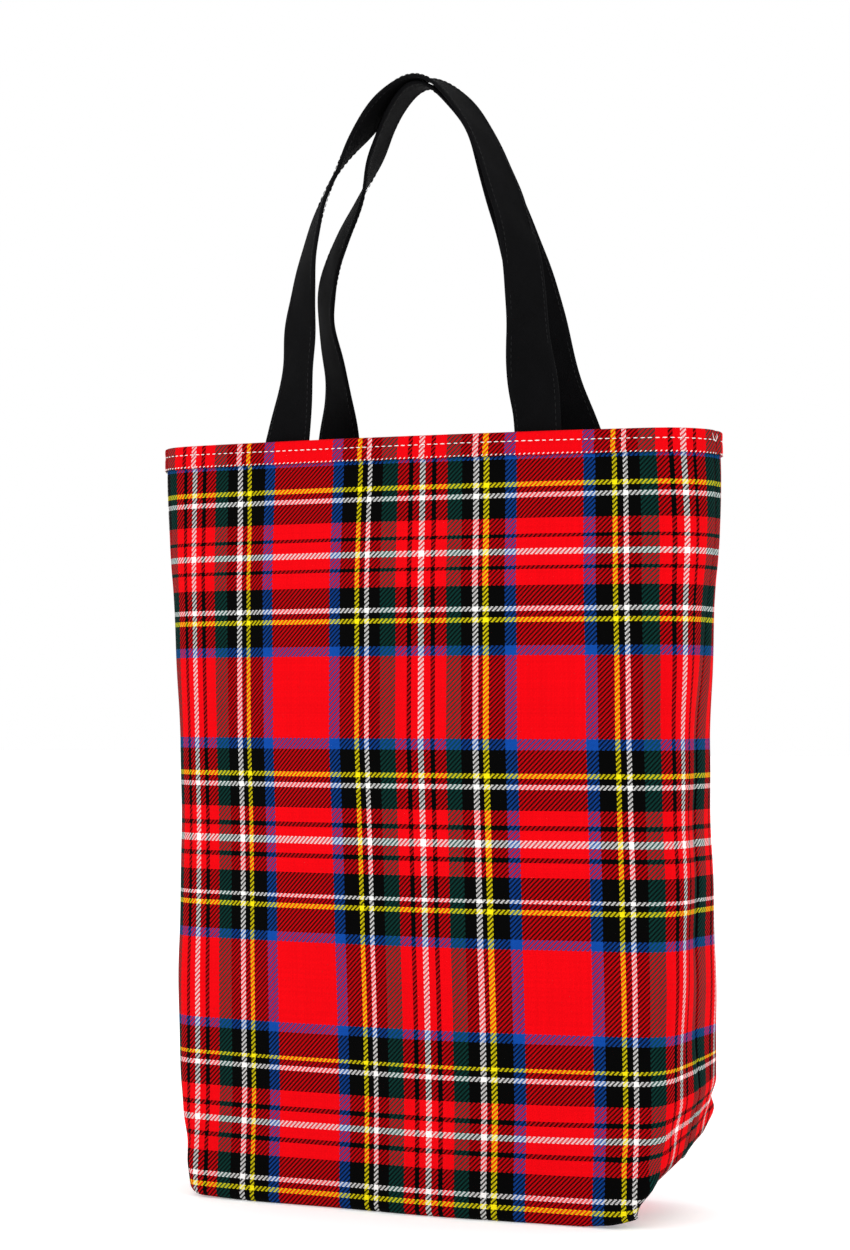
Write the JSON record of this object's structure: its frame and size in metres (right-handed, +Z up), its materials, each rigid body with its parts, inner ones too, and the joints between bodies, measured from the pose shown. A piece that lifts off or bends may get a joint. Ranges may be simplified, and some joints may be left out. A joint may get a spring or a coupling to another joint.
{
  "type": "tote bag",
  "caption": "Woven tartan tote bag with a boxed base, a turned and stitched hem, and paired black fabric shoulder straps that swing over the mouth.",
  "frame": {"origin": "on the floor, under the middle of the mouth", "axes": "+Z up, the front panel faces -Y, the width runs along X"},
  "size_m": [0.3468, 0.1218, 0.6404],
  "materials": {
    "tartan_cloth": "matt twill weave",
    "black_cotton": "matt cotton twill",
    "white_thread": "twisted sewing thread",
    "black_thread": "twisted sewing thread"
  },
  "bodies": {
    "bag": {"front_panel": "tartan_cloth", "back_panel": "tartan_cloth", "front_hem": "tartan_cloth", "back_hem": "tartan_cloth", "side_seam_left": "tartan_cloth", "side_seam_right": "tartan_cloth", "bottom_seam": "tartan_cloth", "corner_seam_left": "tartan_cloth", "corner_seam_right": "tartan_cloth", "front_hem_upper_thread": "white_thread", "front_hem_lower_thread": "white_thread", "back_hem_upper_thread": "white_thread", "back_hem_lower_thread": "white_thread", "front_handle_tails": "black_cotton", "back_handle_tails": "black_cotton"},
    "front_strap": {"front_handle": "black_cotton", "front_handle_edge_threads": "black_thread"},
    "back_strap": {"back_handle": "black_cotton", "back_handle_edge_threads": "black_thread"}
  },
  "joints": [
    {"name": "front_strap_swing", "type": "hinge", "parent": "bag", "child": "front_strap", "pos_m": [0, -0.03719, 0.431], "axis": [1, 0, 0], "range_deg": [0, 165]},
    {"name": "back_strap_swing", "type": "hinge", "parent": "bag", "child": "back_strap", "pos_m": [0, 0.03719, 0.431], "axis": [-1, 0, 0], "range_deg": [0, 165]}
  ]
}
